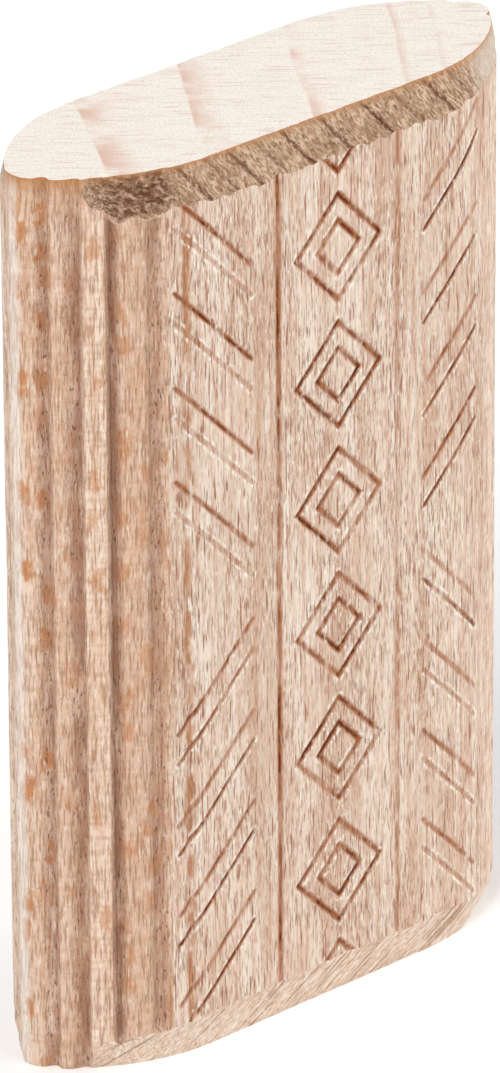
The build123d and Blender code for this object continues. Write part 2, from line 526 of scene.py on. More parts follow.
@dataclass(frozen=True)
class TaperedBeech:
    """Beech cut across the grain at a slant.

    A slanting cut opens the fibres' ends, so it looks darker and rougher than the cheek. A blunt cutter leaves dark
    leaning slashes and torn places, a fresh one a pale surface with fine lines that climb across it. The torn lumps
    have painted highlights on their tops and painted shade in their crevices, and the glints and the pale patches
    on the right and at the round side's middle are painted highlights. A slash has its leaning distance in mm and
    its force. Turns are in degrees.
    """

    name: str
    light: str
    body: str
    pit: str
    slash: str
    torn: str
    arris: str
    line: str
    line_strength: float
    relief: Pair
    grain_turn: float
    line_turn: float
    slashes: tuple[Pair, ...] = ()
    # Painted highlight on the right-hand tapers and towards the middle of each round side
    painted_highlight: str = "#ddd3c6"
    roughness: float = 0.75

    grain: Marks = Marks((0.085, 0.085, 0.50), (0.42, 0.59))
    shade: Marks = Marks((0.7, 0.7, 0.9), (0.40, 0.66), 0.4)
    pits: Marks = Marks((0.085, 0.085, 0.30), (0.56, 0.66), 0.9)
    glints: Marks = Marks((0.085, 0.085, 0.28), (0.58, 0.68), 0.85)
    glint_turn: float = 12.0
    glint_loss: float = 0.15
    line_size: Size = (4.0, 4.0, 0.14)
    line_window: Pair = (0.54, 0.64)
    crumbs: Marks = Marks((0.30, 0.30, 0.18), (0.44, 0.60))
    # Painted highlights on the tops of the torn lumps
    crest_highlights: Marks = Marks((0.30, 0.30, 0.18), (0.42, 0.30), 0.75)
    crumb_turn: float = -14.0
    torn_share: float = 0.7
    # Share of painted shade in the torn lumps' crevices
    crevice_shade_share: float = 0.9
    crumb_relief: float = 4.0

    lean: float = 0.9
    slash_sway: float = 0.26
    slash_sway_size: Size = (0.20, 0.20, 0.60)
    slash_edge: Pair = (0.16, 0.05)
    slash_breaks: Marks = Marks((0.4, 0.4, 0.7), (0.22, 0.46))
    slash_relief: float = 1.5

    def slashed(self, tree: Tree, place: Socket) -> Socket:
        """Mask of the slashes.

        A place's leaning distance is its X, to the right as the cheek is looked at, plus 0.9 of its height. Each
        slash is dark within a tenth of a millimetre or so of its own leaning distance, roughened by noise.

        Args:
            tree: Node tree that gets the nodes.
            place: Object coordinates.

        Returns:
            Socket with the mask.
        """
        axes = add(tree, "SeparateXYZ", {0: place}).outputs
        side = add(tree, "Math", {0: axes["Y"]}, operation="SIGN").outputs[0]
        across = add(tree, "Math", {0: axes["X"], 1: side}, operation="MULTIPLY").outputs[0]
        across = add(tree, "Math", {0: across, 1: -1.0}, operation="MULTIPLY").outputs[0]
        leaning = add(tree, "Math", {
            0: axes["Z"], 1: self.lean, 2: across,
        }, operation="MULTIPLY_ADD").outputs[0]
        sway = Marks(self.slash_sway_size, (0.0, 1.0), self.slash_sway * MM).mask(tree, place)
        leaning = add(tree, "Math", {0: leaning, 1: sway}, operation="ADD").outputs[0]
        start, full = self.slash_edge
        mask = None
        for middle, force in self.slashes:
            swayed = (middle + self.slash_sway / 2) * MM
            aside = add(tree, "Math", {0: leaning, 1: swayed}, operation="SUBTRACT").outputs[0]
            aside = add(tree, "Math", {0: aside}, operation="ABSOLUTE").outputs[0]
            mark = add(tree, "MapRange", {
                "Value": aside, "From Min": start * MM, "From Max": full * MM, "To Max": force,
            }).outputs[0]
            mask = mark if mask is None else add(tree, "Math", {0: mask, 1: mark}, operation="MAXIMUM").outputs[0]
        broken = self.slash_breaks.mask(tree, place)
        return add(tree, "Math", {0: mask, 1: broken}, operation="MULTIPLY").outputs[0]

    def material(self) -> bpy.types.Material:
        """Builds the material.

        Returns:
            The material.
        """
        material, tree, shader = blank_wood(self.name, self.roughness)
        place = add(tree, "TexCoord").outputs["Object"]
        torn, arris, painted_highlight = (
            add(tree, "Attribute", attribute_name=name).outputs["Fac"] for name in ("torn", "arris", "painted_highlight")
        )
        grain = self.grain.mask(tree, place, self.grain_turn)
        pit = self.pits.mask(tree, place, self.grain_turn)
        crumb, crest_highlight = (
            add(tree, "Math", {
                0: marks.mask(tree, place, self.crumb_turn), 1: torn,
            }, operation="MULTIPLY").outputs[0]
            for marks in (self.crumbs, self.crest_highlights)
        )
        whole = add(tree, "Math", {0: torn, 1: -self.glint_loss, 2: 1.0}, operation="MULTIPLY_ADD").outputs[0]
        glint = self.glints.mask(tree, place, self.grain_turn + self.glint_turn)
        glint = add(tree, "Math", {0: glint, 1: whole}, operation="MULTIPLY").outputs[0]
        lines = Marks(self.line_size, self.line_window, self.line_strength)
        height = add(tree, "Math", {0: grain, 1: pit}, operation="ADD").outputs[0]
        height = add(tree, "Math", {
            0: crumb, 1: self.crumb_relief, 2: height,
        }, operation="MULTIPLY_ADD").outputs[0]
        stains = [
            (grain, self.body),
            (self.shade.mask(tree, place, self.grain_turn), self.pit),
            (pit, self.pit),
            (lines.mask(tree, place, self.line_turn), self.line),
        ]
        if self.slashes:
            slash = self.slashed(tree, place)
            stains.append((slash, self.slash))
            height = add(tree, "Math", {
                0: slash, 1: self.slash_relief, 2: height,
            }, operation="MULTIPLY_ADD").outputs[0]
        stains += [
            (add(tree, "Math", {0: torn, 1: self.torn_share}, operation="MULTIPLY").outputs[0], self.torn),
            # Painted shade in the crevices of the torn lumps
            (add(tree, "Math", {0: crumb, 1: self.crevice_shade_share}, operation="MULTIPLY").outputs[0], self.slash),
            # Painted highlight on the tops of the torn lumps
            (crest_highlight, self.light),
            (glint, self.light),
            # Painted highlight
            (painted_highlight, self.painted_highlight),
            (arris, self.arris),
        ]
        lay_finish(tree, shader, self.light, stains, height, self.relief)
        return material


@dataclass(frozen=True)
class YearRing:
    """Late wood of one year: where its sharp side crosses the middle line in mm, its lean, reach and strength."""

    middle: float
    lean: float
    reach: float
    strength: float


@dataclass(frozen=True)
class SawnEndGrain:
    """Sawn beech end grain.

    The cut ends of the fibres are pale and matt. Each year's late wood is a faint pink band with a sharp side and
    a soft side. The saw leaves fine straight lines, which are drawn two pixels wide, as the pores are, to show.
    """

    name: str = "sawn_beech_end_grain"
    roughness: float = 0.8
    relief: Pair = (0.02, 0.4)

    body: str = "#fbf4ea"
    ring: str = "#e3bbaa"
    line: str = "#d9b09b"

    rings: tuple[YearRing, ...] = (
        YearRing(-7.8, 0.60, 1.7, 1.0),
        YearRing(-3.05, 0.70, 1.4, 0.9),
        YearRing(2.2, 0.72, 0.9, 0.8),
        YearRing(7.15, 0.80, 0.5, 0.7),
        YearRing(9.05, 0.80, 0.4, 0.35),
    )
    ring_edge: float = 0.12
    ring_sway: float = 0.3
    ring_sway_size: Size = (5.0, 5.0, 30.0)
    ring_patches: Marks = Marks((1.8, 1.8, 20.0), (0.30, 0.62))
    saw_lines: Marks = Marks((1.8, 0.085, 3.0), (0.54, 0.68), 0.55)
    saw_turn: float = 43.0
    pores: Marks = Marks((0.085, 0.085, 3.0), (0.52, 0.68), 0.55)

    def ringed(self, tree: Tree, place: Socket) -> list[Stain]:
        """Stains of the year rings.

        A place's slanting distance is its X, swayed by noise, less the ring's lean times its Y. A ring starts
        within a tenth of a millimetre or so of its own distance and fades evenly over its reach.

        Args:
            tree: Node tree that gets the nodes.
            place: Object coordinates.

        Returns:
            The stains.
        """
        axes = add(tree, "SeparateXYZ", {0: place}).outputs
        sway = Marks(self.ring_sway_size, (0.0, 1.0), self.ring_sway * MM, detail=0.0).mask(tree, place)
        across = add(tree, "Math", {0: axes["X"], 1: sway}, operation="ADD").outputs[0]
        patchy = self.ring_patches.mask(tree, place)
        stains = []
        for ring in self.rings:
            slant = add(tree, "Math", {
                0: axes["Y"], 1: -ring.lean, 2: across,
            }, operation="MULTIPLY_ADD").outputs[0]
            start = (ring.middle + self.ring_sway / 2) * MM
            sharp = add(tree, "MapRange", {
                "Value": slant, "From Min": start, "From Max": start + self.ring_edge * MM,
            }).outputs[0]
            fading = add(tree, "MapRange", {
                "Value": slant, "From Min": start, "From Max": start + ring.reach * MM,
                "To Min": ring.strength, "To Max": 0.0,
            }).outputs[0]
            band = add(tree, "Math", {0: sharp, 1: fading}, operation="MULTIPLY").outputs[0]
            band = add(tree, "Math", {0: band, 1: patchy}, operation="MULTIPLY").outputs[0]
            stains.append((band, self.ring))
        return stains

    def material(self) -> bpy.types.Material:
        """Builds the material.

        Returns:
            The material.
        """
        material, tree, shader = blank_wood(self.name, self.roughness)
        place = add(tree, "TexCoord").outputs["Object"]
        turn = (0, 0, math.radians(self.saw_turn))
        turned = add(tree, "Mapping", {"Vector": place, "Rotation": turn}).outputs[0]
        saw, pore = self.saw_lines.mask(tree, turned), self.pores.mask(tree, place)
        stains = [*self.ringed(tree, place), (saw, self.line), (pore, self.line)]
        height = add(tree, "Math", {0: saw, 1: pore}, operation="ADD").outputs[0]
        lay_finish(tree, shader, self.body, stains, height, self.relief)
        return material


FINISHES: dict[Finish, PressedBeech | ReededBeech | TaperedBeech | SawnEndGrain] = {
    Finish.CHEEK: PressedBeech(),
    Finish.REEDS: ReededBeech(),
    Finish.UPPER_TAPER: TaperedBeech(
        name="torn_beech_taper", light="#d2b69b", body="#a98568", pit="#7f5a3b", slash="#6a3f27", torn="#946f58",
        arris="#c08a5e", line="#96714f", line_strength=0.2, relief=(0.05, 0.6), grain_turn=32.0, line_turn=19.0,
        slashes=((25.4, 0.85), (26.7, 0.5), (27.8, 0.85), (29.1, 0.5), (30.4, 1.0), (32.3, 0.8), (34.4, 1.0),
                 (35.9, 0.5), (37.5, 0.9), (38.8, 0.6)),
    ),
    Finish.LOWER_TAPER: TaperedBeech(
        name="cut_beech_taper", light="#ecdbcb", body="#d8bda8", pit="#c29e86", slash="#b58d74", torn="#bd9880",
        arris="#d9b79a", line="#96745b", line_strength=0.75, relief=(0.02, 0.6), grain_turn=-52.0, line_turn=38.0,
    ),
    Finish.END_GRAIN: SawnEndGrain(),
}


# --------------------------------------------------------------------------------------------------------------
# The tenon


@dataclass(frozen=True)
class RoundedOblong:
    """Oblong outline with a shoulder arc and a nose arc in each quarter, in mm. Fields may be arrays of outlines.

    The shoulder arc is tangent to the flat and the nose arc to the shoulder, so the outward direction turns, from
    the flat's own, by the arc cosine of (shoulder - half thickness) / (shoulder - nose) before the nose arc starts.
    """

    half_width: float | Array
    half_thickness: float | Array
    shoulder: float | Array
    nose: float | Array
    least_reach: ClassVar[float] = 1e-9

    @property
    def turn(self) -> Array:
        """Angle at which the nose arc takes over from the shoulder arc."""
        return np.arccos((self.shoulder - self.half_thickness) / (self.shoulder - self.nose))

    @property
    def flat_end(self) -> Array:
        """Distance from the middle to the end of the flat."""
        return self.half_width - self.nose - (self.shoulder - self.nose) * np.sin(self.turn)

    @property
    def run(self) -> Array:
        """Length of both arcs of a quarter."""
        return self.shoulder * self.turn + self.nose * (math.pi / 2 - self.turn)

    def point(self, past: Array) -> tuple[Array, Array, Array]:
        """Points of one quarter.

        The angle is the run over the radius. A point is its arc's centre plus the radius times the sine and
        cosine of the angle.

        Args:
            past: Runs past the end of the flat, below zero on the flat.

        Returns:
            X and Y, both positive, and the angle of the outward direction from Y.
        """
        split = self.shoulder * self.turn
        on_nose = past > split
        angle = np.where(on_nose, self.turn + (past - split) / self.nose, np.maximum(past, 0) / self.shoulder)
        radius = np.where(on_nose, self.nose, self.shoulder)
        centre_x = np.where(on_nose, self.half_width - self.nose, self.flat_end)
        centre_y = np.where(on_nose, 0, self.half_thickness - self.shoulder)
        return centre_x + radius * np.sin(angle) + np.minimum(past, 0), centre_y + radius * np.cos(angle), angle

    def overhang(self, x: Array, y: Array) -> tuple[Array, Array, Array]:
        """How far points stand outside the outline.

        The distance is measured from the centre of the nearest arc, less its radius, and square to the flat where
        the point is beside the flat.

        Args:
            x: X of the points.
            y: Y of the points.

        Returns:
            The distance, below zero inside, and the X and Y of the outward direction.
        """
        across, through = np.abs(x), np.abs(y)
        on_nose = np.arctan2(across - (self.half_width - self.nose), through) > self.turn
        dx = np.maximum(across - np.where(on_nose, self.half_width - self.nose, self.flat_end), 0)
        dy = through - np.where(on_nose, 0, self.half_thickness - self.shoulder)
        reach = np.maximum(np.hypot(dx, dy), self.least_reach)
        distance = reach - np.where(on_nose, self.nose, self.shoulder)
        return distance, np.sign(x) * dx / reach, np.sign(y) * dy / reach


@dataclass(frozen=True)
class Girth:
    """Columns of the skin, which stand on the outline over the reeds. One value for each, in mm.

    The way round starts in the middle of the front and goes to the right.
    """

    turns: int  # Columns in a quarter
    length: float  # Whole way round
    past: Array  # Run past the end of the flat, below zero on the flat
    x: Array
    y: Array
    out_x: Array  # Outward direction
    out_y: Array
    across: Array  # Place across the cheek, to the right as the cheek is looked at
    place: Array  # Place on the way round
    right: Array  # Whether it is in the right half of its cheek
    front: Array  # Whether it is on the front


@dataclass(frozen=True)
class Valley:
    """Valley between two reeds: a flank on the side of the cheek, a floor and a flank on the other side.

    The place where its floor starts is a share of the way from the flat to the middle of the round side. The
    sizes are in mm.
    """

    share: float
    cheek_flank: float
    floor: float
    nose_flank: float
    depth: float

    def keys(self, run: float) -> tuple[float, float, float, float]:
        """Runs of the rim towards the cheek, both ends of the floor and the other rim."""
        start = self.share * run
        return start - self.cheek_flank, start, start + self.floor, start + self.floor + self.nose_flank

    def fall(self, past: Array, run: float) -> Array:
        """Depth of the valley: full on the floor, and falling off to the rim on either flank by a smooth step.

        Args:
            past: Runs past the end of the flat.
            run: Run from the flat to the middle of the round side.

        Returns:
            The depth in mm.
        """
        aside = past - self.share * run
        climb = np.where(aside < 0, -aside / self.cheek_flank, np.maximum(aside - self.floor, 0) / self.nose_flank)
        return self.depth * (1 - smooth(climb, 0, 1))


@dataclass(frozen=True)
class ReedTones:
    """Tones and spots of the reeds, from the cheek to the middle of the round side, and how the sides differ.

    The right-hand reeds are paler, partly as a painted highlight, have fewer spots and carry a painted highlight,
    stronger on their tapers. The middle of each round side carries a painted highlight too. Each highlight rises
    over a range of runs past the end of the flat, in mm.
    """

    tones: tuple[float, ...] = (0.0, 0.25, 1.0, 0.15, 0.75, 0.45)
    spots: tuple[float, ...] = (0.0, 0.5, 0.6, 0.6, 0.45, 1.0)
    # The right-hand reeds' tones are damped and lifted towards pale, partly as a painted highlight
    right_tone_gain: float = 0.3
    right_tone_lift: float = -0.1
    right_spots: float = 0.4
    # Painted highlights on the right-hand reeds, more on their tapers, and in the middle of each round side
    right_highlight: float = 0.24
    right_taper_highlight: float = 0.6
    right_highlight_runs: Pair = (1.5, 3.5)
    nose_highlight: float = 0.70
    nose_highlight_runs: Pair = (7.25, 7.5)

    def values(self, girth: Girth, reed: Array, tapered: Array) -> dict[str, Array]:
        """Values for the materials.

        Args:
            girth: Columns of the skin.
            reed: Number of the reed, for each column.
            tapered: Whether each point of the skin is on a taper.

        Returns:
            The tone, the share of spots and the painted highlight, for each point of the skin.
        """
        tone = np.array(self.tones)[reed]
        tone = np.where(girth.right, self.right_tone_gain * tone + self.right_tone_lift, tone)
        spotted = np.array(self.spots)[reed] * np.where(girth.right, self.right_spots, 1.0)
        painted_highlight = np.where(tapered, self.right_taper_highlight, self.right_highlight)
        painted_highlight = painted_highlight * girth.right * smooth(girth.past, *self.right_highlight_runs)
        painted_highlight = np.maximum(painted_highlight, self.nose_highlight * smooth(girth.past, *self.nose_highlight_runs))
        return {
            "reed_tone": np.broadcast_to(tone, tapered.shape),
            "spotted": np.broadcast_to(spotted, tapered.shape),
            "painted_highlight": painted_highlight,
        }


@dataclass(frozen=True)
class PressedLine:
    """Straight V groove on a cheek, between two places given as X and Z in mm."""

    kind: LineKind
    start: Pair
    end: Pair
    half_width: float
    depth: float
    force: float

    def distance(self, x: Array, z: Array) -> Array:
        """Distance from the line's nearest point, which is found by projection and held to its ends.

        Args:
            x: X of the places.
            z: Z of the places.

        Returns:
            The distance in mm.
        """
        dx, dz = self.end[0] - self.start[0], self.end[1] - self.start[1]
        share = np.clip(((x - self.start[0]) * dx + (z - self.start[1]) * dz) / (dx * dx + dz * dz), 0, 1)
        return np.hypot(x - self.start[0] - share * dx, z - self.start[1] - share * dz)


@dataclass(frozen=True)
class PressedPattern:
    """The pattern pressed into both cheeks, set a little to one side. Millimetres.

    Its places are whole multiples of the mesh's pitch, so that every slanting groove runs along the diagonals. A
    line's size is its half width and its depth. Sizes and forces are given for a soft line and then for a hairline,
    and the forces of the pairs for each half (upper 1, lower -1) and band (left -1, right 1).
    """

    offset: float = 0.60
    rail_spacing: float = 6.00
    rail_size: Pair = (0.18, 0.11)
    rail_forces: Pair = (0.75, 0.3)
    inner_reach: float = 4.35
    outer_reaches: Pair = (7.95, 7.35)
    pair_pitch: float = 3.75
    pair_gap: float = 1.20
    first_rise: float = 1.50
    pairs_per_half: int = 4
    pair_sizes: tuple[Pair, Pair] = ((0.15, 0.10), (0.10, 0.09))
    pair_forces: ClassVar[dict[tuple[int, int], Pair]] = {
        (1, -1): (1.0, 0.45), (1, 1): (0.80, 1.0), (-1, -1): (0.80, 1.0), (-1, 1): (0.62, 0.72),
    }
    lozenge_reach: float = 2.10
    inner_lozenge_share: float = 0.5
    lozenge_pitch: float = 5.10
    lozenges_per_half: int = 4
    lozenge_sizes: tuple[Pair, Pair] = ((0.18, 0.12), (0.13, 0.10))
    least_force: float = 0.65
    force_draws: int = 400
    seed: int = 11
    breaks: FibreNoise = FibreNoise(5, 0.4, 1.2)
    whole_share: float = 0.75
    break_share: float = 0.25
    far: float = 9.0
    sag_share: float = 1.1
    sag_runs: Pair = (2.3, 5.0)
    sag_rise: Pair = (17.0, 19.0)
    sag_fall: Pair = (31.0, 33.5)

    def lines(self, length: float) -> list[PressedLine]:
        """All lines of one cheek.

        Args:
            length: Length of the tenon.

        Returns:
            The rails, the slanting pairs and the lozenges, pressed with uneven force.
        """
        force = np.random.default_rng(self.seed).uniform(self.least_force, 1.0, self.force_draws)
        made: list[PressedLine] = []
        middle = length / 2
        for sign, rail_force in zip((-1, 1), self.rail_forces):
            x = self.offset + sign * self.rail_spacing / 2
            made.append(PressedLine(LineKind.SOFT, (x, 0), (x, length), *self.rail_size, rail_force))
        for pair in range(self.pairs_per_half):
            for half in (-1, 1):
                pair_middle = middle + half * (self.first_rise + pair * self.pair_pitch)
                for sign, outer_reach in zip((-1, 1), self.outer_reaches):
                    climb = half * (outer_reach - self.inner_reach)
                    shares = self.pair_forces[half, sign]
                    for edge, kind, size, share in zip((1, -1), LineKind, self.pair_sizes, shares):
                        z = pair_middle + edge * self.pair_gap / 2
                        start = (self.offset + sign * self.inner_reach, z)
                        end = (self.offset + sign * outer_reach, z + climb)
                        made.append(PressedLine(kind, start, end, *size, share * force[len(made)]))
        sides = list(zip(LineKind, self.lozenge_sizes)) * 2
        for step in range(-self.lozenges_per_half, self.lozenges_per_half):
            z = middle + (step + 0.5) * self.lozenge_pitch
            for share in (1, self.inner_lozenge_share):
                reach = share * self.lozenge_reach
                ways = ((reach, 0), (0, reach), (-reach, 0), (0, -reach))
                corners = [(self.offset + x, z + rise) for x, rise in ways]
                for (kind, size), start, end in zip(sides, corners, corners[1:] + corners[:1]):
                    made.append(PressedLine(kind, start, end, *size, force[len(made)]))
        return made

    def rising(self, x: Array, z: Array, length: float) -> Array:
        """Which way the mesh's diagonals run, so that they lie along the grooves.

        A lozenge's upper sides fall and its lower sides climb away from its middle. In the outer bands the lines
        climb outwards above mid-length and fall outwards below it.

        Args:
            x: X of the places, to the right as the cheek is looked at.
            z: Heights of the places.
            length: Length of the tenon.

        Returns:
            Whether the diagonals climb to the right.
        """
        across = x - self.offset
        centre = (np.floor((z - length / 2) / self.lozenge_pitch) + 0.5) * self.lozenge_pitch + length / 2
        in_middle = np.abs(across) < self.rail_spacing / 2
        return np.where(in_middle, (across > 0) != (z > centre), (across > 0) == (z > length / 2))

    def sag(self, rows: Array, girth: Girth, half_thickness: float) -> Array:
        """How far the rows sag where the right-hand lines above mid-length run on to the shoulder.

        It is a share of the drop from the flat to the shoulder, so that those lines look straight from the front
        left. It dies out towards the round side, at mid-length and towards the end.

        Args:
            rows: Heights of the rows for each column, before they sag.
            girth: Columns of the skin.
            half_thickness: Distance of the flat from the middle.

        Returns:
            The sag of each row in each column.
        """
        drop = half_thickness - np.abs(girth.y)
        most = self.sag_share * drop * girth.right * (1 - smooth(girth.past, *self.sag_runs))
        return most * smooth(rows, *self.sag_rise) * (1 - smooth(rows, *self.sag_fall))

    def grooves(self, rows: Array, girth: Girth, length: float, margin: float) -> tuple[Array, dict[str, Array]]:
        """Grooves of all lines: each is a V whose depth falls off evenly from its line, broken by the fibres.

        Args:
            rows: Heights of the rows for each column, before they sag.
            girth: Columns of the skin.
            length: Length of the tenon.
            margin: Distance beyond the lines' outer ends within which they are worked out.

        Returns:
            The depth in mm. For each kind of line, the distance to the nearest one in half widths, and its force.
        """
        across = np.broadcast_to(girth.across, rows.shape)
        place = np.broadcast_to(girth.place, rows.shape)
        depth = np.zeros(rows.shape)
        near = {kind: np.full(rows.shape, self.far) for kind in LineKind}
        force = np.ones(rows.shape)
        closest = np.full(rows.shape, self.far)
        broken = self.whole_share + self.break_share * self.breaks.at(place, rows, girth.length)
        on_cheek = np.abs(across) <= self.outer_reaches[0] + self.offset + margin
        for line in self.lines(length):
            distance = np.where(on_cheek, line.distance(across, rows), self.far)
            pressed = line.force * line.depth * broken * np.clip(1 - distance / line.half_width, 0, 1)
            depth = np.maximum(depth, pressed)
            near[line.kind] = np.minimum(near[line.kind], distance / line.half_width)
            force = np.where(distance < closest, line.force, force)
            closest = np.minimum(closest, distance)
        return depth, {**{kind.value: near[kind] for kind in LineKind}, "line_force": force * broken}


@dataclass(frozen=True)
class TaperedEnd:
    """Taper that both ends share, in mm.

    The end's own outline is set in at the flats and pointed at the noses. It grows evenly with the distance from
    the end, in all its sizes, until it clears the body.
    """

    half_width: float
    half_thickness: float
    height: float = 1.57
    inset: float = 0.40
    shoulder: float = 7.5
    nose: float = 1.0
    nose_growth: float = 0.2
    shoulder_loss: float = 1.0
    nose_gain: float = 0.2
    most_steps: float = 2.0
    halvings: int = 24

    def outline(self, steps: float | Array) -> RoundedOblong:
        """Outline a number of taper heights from the end."""
        return RoundedOblong(
            self.half_width + self.nose_growth * steps,
            self.half_thickness - self.inset + self.inset * steps,
            self.shoulder - self.shoulder_loss * steps,
            self.nose + self.nose_gain * steps,
        )

    def meeting(self, x: Array, y: Array) -> Array:
        """Number of taper heights from the end at which the taper meets points of the body.

        The way is halved again and again, and the half kept in which the point changes from outside to inside.

        Args:
            x: X of the points.
            y: Y of the points.

        Returns:
            The number for each point, from 0 to 2.
        """
        low, high = np.zeros(x.shape), np.full(x.shape, self.most_steps)
        for _ in range(self.halvings):
            middle = (low + high) / 2
            outside = self.outline(middle).overhang(x, y)[0] > 0
            low, high = np.where(outside, middle, low), np.where(outside, high, middle)
        return low


@dataclass(frozen=True)
class EdgeWaver:
    """How the edge of a cut wavers round the girth: a sum of noises, each with its reach in mm."""

    parts: tuple[tuple[float, FibreNoise], ...]

    def at(self, girth: Girth) -> Array:
        """The waver for each column, in mm."""
        level = np.zeros(girth.place.shape)
        return sum(reach * noise.at(girth.place, level, girth.length) for reach, noise in self.parts)


@dataclass(frozen=True)
class Tear:
    """Torn place at the upper end, over the left front reeds: runs past the end of the flat, and sizes in mm."""

    rise: Pair = (1.1, 1.8)
    fall: Pair = (3.6, 5.2)
    height: float = 1.62
    depth: float = 0.20
    rip: EdgeWaver = EdgeWaver(((0.10, FibreNoise(8, 0.35, 9.0)),))
    wall: float = 0.22
    shallow_from: float = 0.6
    shallow_loss: float = 0.6
    shreds: FibreNoise = FibreNoise(14, 0.42, 0.24)
    shred_least: float = 0.65
    shred_gain: float = 0.8

    def share(self, past: Array) -> Array:
        """Strength from 0 to 1 for runs past the end of the flat: a smooth rise and a smooth fall."""
        return smooth(past, *self.rise) * (1 - smooth(past, *self.fall))

    def hollow(self, share: Array, place: Array, height: Array, girth: float) -> Array:
        """Depth of the hollow: steep at the tear's edge, shallow towards the end, and shredded by noise.

        Args:
            share: Shares of the way from the end to the tear's edge.
            place: Places round the girth.
            height: Heights along the grain.
            girth: Length of the girth.

        Returns:
            The depth in mm, where the tear has its full strength.
        """
        inward = 1 - np.minimum(share, 1)
        walled = smooth(inward, 0.0, self.wall) * (1 - self.shallow_loss * smooth(inward, self.shallow_from, 1.0))
        return self.depth * walled * (self.shred_least + self.shred_gain * self.shreds.at(place, height, girth))


@dataclass(frozen=True)
class BrokenCorner:
    """Lower corner broken off at a slant, on the right of the front and, less, on the right of the back.

    A plane leans in towards the lower end from the outline's furthest reach in a level direction, which is turned,
    in degrees, from the front towards the right. What reaches past the plane is set back to it. The depths at the
    lower end and the height of the break are in mm.
    """

    turn: float = 47.3
    depths: Pair = (1.25, 0.45)
    height: float = 1.3

    def cut(self, x: Array, y: Array, height: Array, girth: Girth) -> tuple[Array, Array]:
        """Sets points back to the planes of both corners.

        Args:
            x: X of the points.
            y: Y of the points.
            height: Heights of the points.
            girth: Columns of the skin.

        Returns:
            X and Y of the points.
        """
        toward_x, toward_y = math.sin(math.radians(self.turn)), -math.cos(math.radians(self.turn))
        reach = x * toward_x + y * toward_y
        most = np.max(np.abs(girth.x * toward_x + girth.y * toward_y))
        limit = most - np.where(reach > 0, *self.depths) * np.clip(1 - height / self.height, 0, 1)
        excess = np.sign(reach) * np.maximum(np.abs(reach) - limit, 0)
        return x - excess * toward_x, y - excess * toward_y


